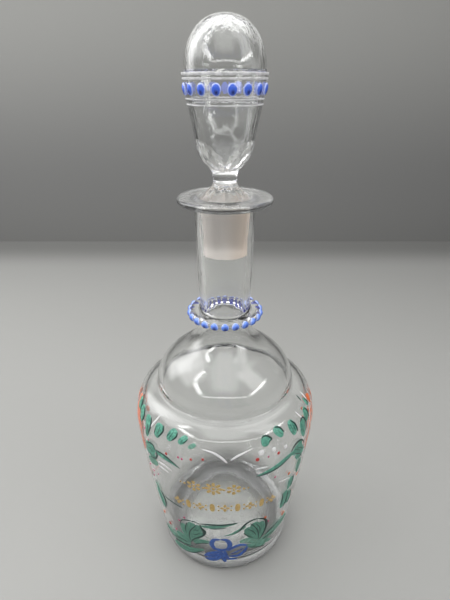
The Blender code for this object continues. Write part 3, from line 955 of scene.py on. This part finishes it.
# Along the garlands: a dark edge to each leaf, and a line or two down it
shading.strokes(
    ([(-73.4, 119.4), (-70.4, 117), (-69.4, 113.6)], 1.3),
    ([(-64.6, 118.4), (-61.8, 115), (-63.2, 110)], 1.4),
    ([(-53.9, 118.1), (-51.8, 114), (-54.2, 106.3)], 1.5),
    ([(-55.1, 114.5), (-54.6, 110.7), (-55.6, 105.7)], 0.8),
    ([(-41.4, 119.1), (-40.5, 116.2), (-43.7, 111.4)], 1.2),
    ([(-43.5, 118), (-43.7, 115.1), (-45, 112.2)], 0.6),
    ([(-45.8, 117.7), (-46.9, 114.3), (-47.2, 111.8)], 0.6),
    ([(-30.2, 119.2), (-30.4, 117), (-33, 114.2)], 1.1),
    ([(-32.4, 119.1), (-34.2, 116.2), (-35.2, 114.8)], 0.5),
    ([(-34.3, 118.7), (-35.8, 116.6), (-36.7, 114.9)], 0.5),
    ([(-22.7, 118.2), (-23.6, 116.7), (-25.8, 115.2)], 0.7),
    ([(-24.8, 117.9), (-26.3, 116.2), (-27.3, 115.4)], 0.4),
    ([(22, 118.6), (25.4, 119), (28.4, 117), (27.4, 116)], 1.3),
    ([(26.2, 117.1), (27.1, 115.9), (26, 115)], 0.5),
    ([(32.4, 120.6), (35.8, 120), (38.2, 117)], 1.3),
    ([(33.8, 119.3), (35, 118), (36.2, 116.7)], 0.5),
    ([(45.4, 120), (48.5, 116.9), (49.5, 112)], 1.4),
    ([(44.1, 119), (44.8, 116.4), (45.7, 113.2)], 0.6),
    ([(46.2, 118.2), (46.9, 115.6), (47.2, 113)], 0.6),
    ([(53.4, 115.4), (57.1, 116.4), (60, 112), (58.6, 106.6)], 1.6),
    ([(55.3, 113.6), (54.9, 110.5), (56, 106.2)], 0.8),
    ([(62.7, 119), (65.3, 115.8), (65.4, 111.6)], 1.5),
    ([(61.8, 117.4), (61.9, 115), (62.5, 112.4)], 0.7),
    ([(67.3, 123.4), (66.5, 122.7), (65.8, 121.5)], 0.9),
    ([(69.7, 121), (70.8, 118.8), (71, 116.7)], 1.2),
    rise=SHADING_RISE,
)
# Round the sprays
shading.strokes(
    ([(-57.6, 98.4), (-51.6, 102.8), (-47.9, 103.2), (-46, 100.6)], 1.1),
    ([(-45.6, 101), (-44.6, 98.2), (-47.1, 93.6), (-53.6, 90.7)], 1.5),
    ([(-56.7, 96.2), (-51.2, 98.4), (-48.1, 98)], 0.9),
    ([(-57.2, 91.6), (-51.7, 93.8), (-47.9, 93.9)], 0.9),
    ([(-45.7, 101.4), (-39, 102.4), (-33, 101.1), (-26.6, 97.9)], 1.2),
    ([(-50, 62.4), (-47.4, 58.6), (-47, 53), (-50.6, 44)], 1.5),
    ([(-46.4, 60.6), (-37.7, 61.2), (-29, 61.3)], 1.1),
    ([(-53.1, 59.2), (-52.2, 52.5), (-52.4, 46.5)], 0.7),
    ([(42.6, 101.6), (45, 104.3), (48.6, 105.4), (53.8, 103.4), (57.5, 98.4)], 1.5),
    ([(47.5, 101.1), (52.6, 98.5), (57.4, 93.6)], 0.9),
    ([(46.8, 97.7), (51.7, 94.2), (57, 88.4)], 0.9),
    ([(45.5, 101.6), (49.7, 98.6), (55, 94)], 0.6),
    ([(43.4, 100), (38.2, 97.6), (31.5, 95.6), (24.5, 94.9), (18, 95)], 1.2),
    ([(50.4, 77.4), (51.6, 71.5), (50.4, 66)], 0.9),
    ([(42.4, 66.6), (43.2, 59.8), (43.2, 51.6)], 1.0),
    ([(48.4, 64), (49, 55), (47, 49)], 0.9),
    ([(52.6, 62.4), (54.2, 54), (52.6, 48.6)], 0.9),
    ([(52, 89.6), (55.6, 90), (57.4, 87.4)], 0.8),
    rise=SHADING_RISE,
    ends=(1.0, 0.7),
)
# Round the pair at the foot
shading.strokes(
    ([(-17.6, 51), (-17, 46.4), (-14.8, 42.4), (-16.4, 38.6), (-21.5, 34), (-25.7, 29.4), (-27.3, 26)], 1.3),
    ([(-16.8, 47), (-14.9, 43.6), (-15.4, 40)], 2.0),
    ([(-35, 38.6), (-33.6, 45.4), (-29, 49.4), (-22, 51.4), (-17.6, 50.8)], 0.6),
    ([(-28.2, 47.2), (-30.6, 39.7), (-30.2, 32)], 0.7),
    ([(-20.3, 48.6), (-25.8, 40.4), (-28, 33.6), (-27.8, 26.6)], 1.0),
    ([(-25.3, 36.6), (-21.8, 37.8), (-18, 41)], 0.8),
    ([(-23.9, 41.2), (-21.3, 42.9), (-18.8, 42.7)], 0.6),
    ([(-17.1, 51.2), (-10.7, 52.3), (-1.6, 53.2), (9, 54.9)], 1.3),
    ([(-10.9, 48.1), (-5.1, 48.9), (0.7, 50.3)], 0.5),
    ([(4.1, 42), (9.5, 45.2), (12.9, 50.2), (16.2, 53.2), (20.4, 54.4), (25.5, 53)], 1.2),
    ([(24, 53.6), (29.6, 49.6), (31.8, 42), (30.4, 34.5), (27.6, 28.6)], 1.5),
    ([(17.6, 51.4), (22.6, 44.6), (25.6, 37.2), (26.4, 28.8)], 0.9),
    ([(21.4, 50.5), (25.9, 43), (27.1, 34.2)], 0.6),
    ([(15.8, 46.4), (21, 41.2), (24.3, 35)], 0.7),
    ([(13.6, 42.2), (17.4, 37.8), (22.2, 33.6)], 0.7),
    ([(-47.6, 14.6), (-36.9, 18), (-26.4, 21.8)], 1.2),
    ([(-37, 9.6), (-26.4, 13.9), (-18.4, 20)], 0.8),
    ([(-48.4, 18.4), (-39, 22), (-30.2, 23.4)], 0.9),
    ([(-24.6, 24.8), (-18, 29.4), (-11.6, 30.8)], 0.6),
    ([(31, 26.4), (36.6, 28.4), (45, 28)], 0.8),
    ([(32.5, 30.6), (38.7, 33.6), (46, 35.4)], 0.7),
    ([(18.6, 25), (26.5, 20.6), (34.6, 17.6)], 0.7),
    rise=SHADING_RISE,
    broader=1.35,
)
shading.done("green_enamel", line_green)

# White strokes
# Commas and dabs of white enamel in the gaps of the wreath, and the pair that meets at the middle of the
# front. Each is one touch of the brush.
white_paint = enamel("white_paint", (0.88, 0.88, 0.88), (0.68, 0.66, 0.68), bare=0.15)
whites = Brush("white_commas")
whites.strokes(
    ([(-13.4, 114.9), (-7, 113.8), (-2.5, 111.5), (1.3, 108)], 2.0, (0.35, 1.0)),
    ([(16.4, 115), (11.1, 113.3), (6.8, 111.8), (3.1, 109.6)], 1.8, (0.35, 1.0)),
    ([(-47.6, 121.6), (-49.2, 118.1), (-51.8, 113)], 1.6, (0.5, 0.9)),
    ([(53.7, 121), (55.1, 118.5), (57.9, 114.8)], 1.5, (0.5, 0.9)),
    ([(73.4, 122.8), (72.3, 121.2), (72, 118.8)], 1.3, (0.5, 0.9)),
    ([(-45, 92.6), (-38.9, 93.6), (-33, 92.6)], 2.4, (0.9, 0.4)),
    ([(-44.6, 89.6), (-40, 90), (-36, 89.4)], 1.2, (0.9, 0.4)),
    ([(17, 100.9), (21, 100.8), (25.6, 100)], 1.6, (0.9, 0.4)),
    ([(35, 82), (40.2, 80.1), (46, 78)], 1.4, (0.5, 0.9)),
    rise=0.28,
)
for angle, height, size in ((21.1, 111.2, 3.4), (29.1, 110.4, 2.7), (37.7, 108.4, 2.5), (-55.6, 69.4, 2.6)):
    whites.dot(angle, height, size)
whites.done("white_enamel", white_paint)

# Berries
# Small dots of red, magenta and orange enamel, in strings between the leaves, each pressed on with the tip
# of the brush. A row gives a dot's angle, height and size.
red_paint = enamel("red_paint", (0.62, 0.05, 0.03), (0.4, 0.02, 0.03), bare=0.05)
reds = (
    (-36.2, 104.3, 1.7),
    (-19.5, 107.4, 1.5),
    (-12.5, 109, 1.4),
    (18.5, 107.6, 2.2),
    (32.3, 106.8, 1.9),
    (-49.8, 29.4, 2.6),
)
magenta_paint = enamel("magenta_paint", (0.62, 0.06, 0.2), (0.42, 0.03, 0.12), bare=0.1)
magentas = (
    (-27.6, 106, 1.3),
    (-25.2, 105.8, 1.3),
    (25.4, 107.2, 1.1),
    (-47.7, 79.6, 1.1),
    (-55.2, 72.6, 1.1),
    (-53.4, 78.4, 1.8),
    (-57.6, 80.5, 1.5),
    (-58.4, 108.6, 1.5),
    (-53.5, 103.2, 1.3),
    (-41.8, 29.8, 1.8),
    (-35.3, 44.4, 1.7),
    (-29.6, 51.2, 1.7),
    (31.5, 88.6, 1.4),
    (32.9, 45.6, 1.5),
)
orange_paint = enamel("orange_paint", (0.8, 0.22, 0.06), (0.6, 0.1, 0.04), bare=0.15)
oranges = (
    (76, 117.6, 5),
    (71.6, 112, 3),
    (44.1, 83, 2.2),
    (57.6, 71.6, 2.6),
    (-56.5, 35.4, 2.6),
    (50.6, 39.4, 3.4),
    (29.3, 51.6, 2.1),
)
for name, paint, dots in (
    ("red_berries", red_paint, reds),
    ("magenta_berries", magenta_paint, magentas),
    ("orange_berries", orange_paint, oranges),
):
    berries = Brush(name)
    for angle, height, size in dots:
        berries.dot(angle, height, size)
    berries.done("red_enamel", paint)

# Side blossoms
# A salmon flower on each side, where the two halves of the wreath end. Its petals are single pressed strokes,
# thinner on the right.
RIGHT_THINNESS = 0.5
PETAL_ENDS = (1.1, 0.7)
salmon_paint = enamel("salmon_paint", (0.74, 0.27, 0.17), (0.62, 0.18, 0.12), bare=0.2)
petals = Brush("side_petals")
for side, share in ((-1, 1), (1, RIGHT_THINNESS)):
    for knots, width in (
        ([(79, 119), (75.6, 114.6)], 4.8),
        ([(73.6, 114), (68.4, 109.6)], 4.4),
        ([(71, 109), (66.4, 105), (64.6, 99)], 5.2),
        ([(66.6, 99), (63.4, 95), (62.6, 89)], 4.6),
        ([(80, 113), (74.4, 107.5)], 4.4),
        ([(82, 106), (75, 101.5)], 4.4),
        ([(82.5, 99), (74.5, 94)], 4.4),
        ([(88, 117), (87, 107)], 4.6),
        ([(97, 114), (91, 105)], 4.6),
        ([(99, 103), (91.5, 101)], 4.6),
        ([(97, 92), (90.5, 98)], 4.6),
        ([(87, 88), (86.4, 96)], 4.4),
        ([(80, 62), (74, 55)], 3.6),
        ([(86, 60), (82, 50)], 3.6),
        ([(76, 40), (73, 33)], 3.0),
    ):
        mirrored = [(side * angle, height) for angle, height in knots]
        petals.strokes((mirrored, width * share, PETAL_ENDS))
petals.strokes(([(-77.5, 116), (-74, 109), (-70, 102)], 4.6, PETAL_ENDS))
petals.done("red_enamel", salmon_paint)

# Blue flower
# A looped flower at the foot of the front, drawn in open curls of dark blue enamel, so that its middle and
# the leaf beside it stay clear.
blue_paint = enamel("blue_paint", (0.05, 0.16, 0.54), (0.008, 0.03, 0.19), hairs=1.8, bare=0.15)
blues = Brush("blue_flower")
blues.strokes(
    ([(-3.4, 37), (-8, 36.2), (-10.2, 31.2), (-8, 26.2), (-4, 24.8)], 3.4),
    ([(-3.4, 37.1), (1, 36.6), (3.6, 32), (2.8, 27.2), (-0.8, 24.8)], 3.6),
    ([(-7, 26.4), (-3.5, 24.4), (0.7, 26)], 3.4),
    ([(-17, 14.6), (-12.5, 18.8), (-7, 21.4), (-3.3, 21.6)], 3.6),
    ([(-16.7, 13), (-11.6, 12.2), (-5.9, 14.6), (-2.8, 19)], 3.8),
    ([(-14.7, 15.4), (-9, 16.6), (-3.5, 19.5)], 4.2),
    ([(-3.6, 23), (-1.6, 17.4), (0.4, 10.6)], 4.0),
    ([(-0.4, 24), (1, 18.7), (3.4, 13)], 2.6),
    ([(2, 24), (7, 28), (11.7, 29.3), (17.9, 27)], 3.0),
    ([(17.9, 26.4), (15.4, 20.8), (10.6, 17.2), (3.4, 17.6)], 3.0),
    ([(4.6, 20.2), (10, 22.5), (14.4, 25)], 1.1),
    ([(0.8, 15), (5.6, 14), (10.6, 13.6)], 2.0),
    rise=0.3,
    ends=(0.95, 0.9),
)
blues.done("blue_enamel", blue_paint)

# Gilding
# Worn gilt brushwork across the front, touched on with the point of the brush: three rosettes with dots
# between them, and below them a row of small flowers and lozenges, with a pair of dots in each gap.
GILT_RISE = 0.14
DEGREES_PER_MM = 1.08
MIDDLE_ANGLE = -6.8
MIDDLE_HEIGHT = 87.6
SIDE_HEIGHT = 87.2
SIDE_TURN = 12
SIDE_DOTS = ((6.2, 1.5), (18, 1.5), (20.6, 1.1))
ROW_START = -32
ROW_PITCH = 8
ROW_PLACES = 9
ROW_HEIGHT = 70.6
ROW_MIDDLE = 4
ROW_SAG = 0.0022
LOZENGE_HALF = 3.6
LOZENGE_WIDTH = 3.2
PETAL_WIDTH = 2.1
PETAL_START = (0.7, 0.6)
PETAL_END = (3, 3.2)
ROW_DOT_SIZE = 1.3
ROW_DOT_HEIGHT = 1.9

gilt = enamel("gilt", (0.74, 0.54, 0.19), (0.52, 0.32, 0.09), hairs=1.6, bare=0.35, metallic=0.1)
gilding = Brush("gilding")


def rosette(angle, height, petals, turn_share, reaches, width, ends, eye):
    """Petals round an eye, each a touch of the brush from the inner of two reaches to the outer one."""
    for petal in range(petals):
        turn = math.tau * (petal + turn_share) / petals
        across, up = DEGREES_PER_MM * math.cos(turn), math.sin(turn)
        knots = [(angle + reach * across, height + reach * up) for reach in reaches]
        gilding.strokes((knots, width, ends), rise=GILT_RISE)
    gilding.dot(angle, height, eye)


rosette(MIDDLE_ANGLE, MIDDLE_HEIGHT, 8, 0, reaches=(1.8, 5.2), width=PETAL_WIDTH, ends=(1.0, 0.85), eye=2.0)
for side in (-1, 1):
    middle = MIDDLE_ANGLE + side * SIDE_TURN
    rosette(middle, SIDE_HEIGHT, 6, 0.5, reaches=(1.6, 4.2), width=2.3, ends=(0.7, 1.1), eye=1.7)
    for across, size in SIDE_DOTS:
        gilding.dot(MIDDLE_ANGLE + side * across, SIDE_HEIGHT, size)
for index in range(ROW_PLACES):
    angle = ROW_START + ROW_PITCH * index
    height = ROW_HEIGHT - ROW_SAG * (angle - ROW_MIDDLE) ** 2
    if index % 2:
        lozenge = [(angle, height - LOZENGE_HALF), (angle, height + LOZENGE_HALF)]
        gilding.strokes((lozenge, LOZENGE_WIDTH), rise=GILT_RISE, ends=(1.0, 1.0))
    else:
        for across, up in ((1, 0), (-1, 0), (0, 1), (0, -1)):
            petal = [(angle + across * end[0], height + up * end[1]) for end in (PETAL_START, PETAL_END)]
            gilding.strokes((petal, PETAL_WIDTH), rise=GILT_RISE)
    if index < ROW_PLACES - 1:
        for up in (ROW_DOT_HEIGHT, -ROW_DOT_HEIGHT):
            gilding.dot(angle + ROW_PITCH / 2, height + up, ROW_DOT_SIZE)
gilding.done("gold_enamel", gilt)

# Lines round the stopper
# Thin white enamel, run on with the stopper turning: two at the ledge above the beads and two below them.
# A row gives a line's rise above the lip and its width.
LINES = ((55.6, 1.1), (53.6, 0.9), (45.3, 0.6), (42.9, 0.6))
LINE_MOUND = 0.22
LINE_SIDES = 120
LINE_CORNERS = 8
LINE_SPAN = 0.8
LINE_WHITES = ((0.55, 0.54, 0.55), (0.88, 0.88, 0.89))

line_paint, tree, shader = new_material("line_paint")
worn = mottled(tree, object_place(tree), 260.0, 3.0)
look = {
    "Base Color": blend(tree, worn, *LINE_WHITES),
    "Alpha": graded(tree, worn, 0.35, 0.6, 0.55, 0.85),
    "Normal": bumped(tree, 0.5, 0.1, worn),
    "Roughness": 0.4,
}
feed(tree, shader, look)
for index, (rise, width) in enumerate(LINES):
    section = []
    for corner in range(LINE_CORNERS):
        turn = math.tau * corner / LINE_CORNERS
        lift = LINE_MOUND * max(math.sin(turn), 0) + ENAMEL_SINK * min(math.sin(turn), 0)
        section.append(on_the_cup(rise + width / 2 * math.cos(turn), lift, LINE_SPAN))
    bm = turned(section, LINE_SIDES, ring=True)
    piece(f"bowl_line_{index + 1}", bm, "stopper", "white_enamel", line_paint)

# Table and wall
# A plain pale table that runs back to a grey wall. The table is painted a little darker towards the back and
# much darker along the foot of the wall, as painted shade. The wall is painted darker low down and paler
# higher up, as painted light, palest at its top, above the camera's view, where the glass bends it into
# sight.
TABLE_DROP = 0.0003
HALF_WIDTH = 2.0
TABLE_FRONT = -2.0
WALL_PLACE = 0.62
WALL_FOOT = -0.05
WALL_TOP = 0.7
TABLE_SPAN = (-0.4, WALL_PLACE)
# Painted shade: the table darkens towards the wall, most along its foot.
TABLE_GREYS_AND_PAINTED_SHADE = (
    (0.0, (0.33, 0.33, 0.318)),
    (0.5, (0.31, 0.31, 0.298)),
    (0.72, (0.3, 0.3, 0.288)),
    (0.86, (0.295, 0.295, 0.284)),
    (0.965, (0.19, 0.19, 0.183)),
)
# Painted light: the wall pales up its height, most at its top.
WALL_GREYS_AND_PAINTED_LIGHT = (
    (0.0, (0.21, 0.21, 0.203)),
    (0.22, (0.2, 0.2, 0.196)),
    (0.6, (0.29, 0.29, 0.278)),
    (0.68, (0.8, 0.8, 0.78)),
)


def dull_grey(name, axis, span, stops):
    """A dull surface whose grey changes along one axis of its object, over a span in metres."""
    material, tree, shader = new_material(name)
    at = put(tree, "SeparateXYZ", {0: object_place(tree)}).outputs[axis]
    ramp = put(tree, "ValToRGB", {"Fac": graded(tree, at, *span)})
    ramp.color_ramp.interpolation = "EASE"
    while len(ramp.color_ramp.elements) < len(stops):
        ramp.color_ramp.elements.new(0.5)
    for element, (position, colour) in zip(ramp.color_ramp.elements, stops):
        element.position = position
        element.color = (*colour, 1)
    feed(tree, shader, {"Base Color": ramp.outputs["Color"], "Roughness": 0.85, "Specular IOR Level": 0.1})
    return material


def stage_plane(name, near, far, material):
    """A plane across the whole stage, between two lines that are each given as (y, z) in metres."""
    bm = bmesh.new()
    corners = [(-HALF_WIDTH, *near), (HALF_WIDTH, *near), (HALF_WIDTH, *far), (-HALF_WIDTH, *far)]
    bm.faces.new([bm.verts.new(corner) for corner in corners])
    mesh = bpy.data.meshes.new(name)
    bm.to_mesh(mesh)
    bm.free()
    mesh.materials.append(material)
    obj = bpy.data.objects.new(name, mesh)
    bpy.context.scene.collection.objects.link(obj)
    obj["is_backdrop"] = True


table_grey_and_painted_shade = dull_grey("table_grey_and_painted_shade", "Y", TABLE_SPAN, TABLE_GREYS_AND_PAINTED_SHADE)
wall_grey_and_painted_light = dull_grey("wall_grey_and_painted_light", "Z", (WALL_FOOT, WALL_TOP), WALL_GREYS_AND_PAINTED_LIGHT)
stage_plane("table", (TABLE_FRONT, -TABLE_DROP), (WALL_PLACE, -TABLE_DROP), table_grey_and_painted_shade)
stage_plane("wall", (WALL_PLACE, WALL_FOOT), (WALL_PLACE, WALL_TOP), wall_grey_and_painted_light)

# Lamps
# Long lamps above and beside the carafe, and broad pale curtains further out, which the glass mirrors as
# soft patches. All of them face a point inside the body, just under the crease.
LAMP_CENTRE = Vector((0, 0, 0.12))
LAMP_DISTANCE = 0.9
CURTAIN_DISTANCE = 0.95
FADE_START, FADE_END = 0.2, 0.5


def faded(data):
    """Fades a lamp towards its edges, like daylight through a curtain."""
    data.use_nodes = True
    tree = data.node_tree
    at = put(tree, "SeparateXYZ", {0: put(tree, "NewGeometry").outputs["Parametric"]}).outputs
    shares = []
    for axis in "XY":
        off = worked(tree, "ABSOLUTE", worked(tree, "SUBTRACT", at[axis], 0.5))
        shares.append(graded(tree, off, FADE_END, FADE_START, smooth=True))
    feed(tree, tree.nodes["Emission"], {"Strength": worked(tree, "MULTIPLY", *shares)})


def lamp(name, azimuths, elevations, distance, width, strength, soft=True):
    """A long lamp between two directions from the object, facing it. Strength is its own brightness."""
    ends = []
    for azimuth, elevation in zip(azimuths, elevations):
        a, e = math.radians(azimuth), math.radians(elevation)
        ends.append(Vector((math.sin(a) * math.cos(e), -math.cos(a) * math.cos(e), math.sin(e))) * distance)
    centre = (ends[0] + ends[1]) / 2
    data = bpy.data.lights.new(name, "AREA")
    data.shape = "RECTANGLE"
    data.size = (ends[1] - ends[0]).length
    data.size_y = width
    data.energy = strength * data.size * width * math.pi
    if soft:
        faded(data)
    obj = bpy.data.objects.new(name, data)
    x_axis = (ends[1] - ends[0]).normalized()
    z_axis = centre.normalized()
    z_axis = (z_axis - x_axis * z_axis.dot(x_axis)).normalized()
    turn = Matrix((x_axis, z_axis.cross(x_axis), z_axis)).transposed().to_4x4()
    obj.matrix_world = Matrix.Translation(centre + LAMP_CENTRE) @ turn
    bpy.context.scene.collection.objects.link(obj)


lamp("front_lamp", (-37, 37), (22, 21), LAMP_DISTANCE, 0.04, 4.4, soft=False)
lamp("left_low_lamp", (-36, -70), (22, 42), LAMP_DISTANCE, 0.17, 8)
lamp("left_high_lamp", (-68, -76), (42, 64), LAMP_DISTANCE, 0.1, 6, soft=False)
lamp("right_low_lamp", (36, 88), (19, 30), LAMP_DISTANCE, 0.1, 8)
lamp("left_curtain", (-92, -98), (18, 70), CURTAIN_DISTANCE, 1.0, 2.3)
lamp("left_back_curtain", (-112, -112), (-2, 58), CURTAIN_DISTANCE, 0.6, 2.5)
lamp("right_curtain", (62, 76), (18, 76), CURTAIN_DISTANCE, 0.5, 2.2)
lamp("front_curtain", (0, 0), (30, 104), CURTAIN_DISTANCE, 0.8, 1.5)
lamp("back_curtain", (180, 0), (46, 84), CURTAIN_DISTANCE, 1.5, 2.1)

# Daylight
# Soft light from all round, brighter towards the ceiling. It may bounce more often than a solid thing
# would need, because it goes through many surfaces of the glass.
CEILING_START, CEILING_FULL = 0.5, 0.92
ROOM_LIGHT, CEILING_LIGHT = 0.17, 0.4
world = bpy.data.worlds.new("daylight")
world.use_nodes = True
tree = world.node_tree
up = put(tree, "SeparateXYZ", {0: put(tree, "TexCoord").outputs["Generated"]}).outputs["Z"]
daylight = graded(tree, up, CEILING_START, CEILING_FULL, ROOM_LIGHT, CEILING_LIGHT, smooth=True)
feed(tree, tree.nodes["Background"], {"Color": (0.98, 0.98, 1, 1), "Strength": daylight})
scene = bpy.context.scene
scene.world = world
scene.view_settings.view_transform = "Standard"
scene.cycles.max_bounces = 14
scene.cycles.transmission_bounces = 14
scene.cycles.glossy_bounces = 12

# Camera
# It stands close to the carafe and looks down on it, from where the ellipses of lip, ring, crease and foot
# appear as they do in the photograph.
CAMERA_PLACE = (0, -0.23, 0.2909)
CAMERA_TILT = 26.33
LENS_LENGTH = 27.06
SENSOR_WIDTH = 36
camera = bpy.data.objects.new("camera", bpy.data.cameras.new("camera"))
camera.location = CAMERA_PLACE
camera.rotation_euler = (math.radians(90 - CAMERA_TILT), 0, 0)
camera.data.lens = LENS_LENGTH
camera.data.sensor_width = SENSOR_WIDTH
scene.collection.objects.link(camera)
scene.camera = camera

low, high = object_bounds()
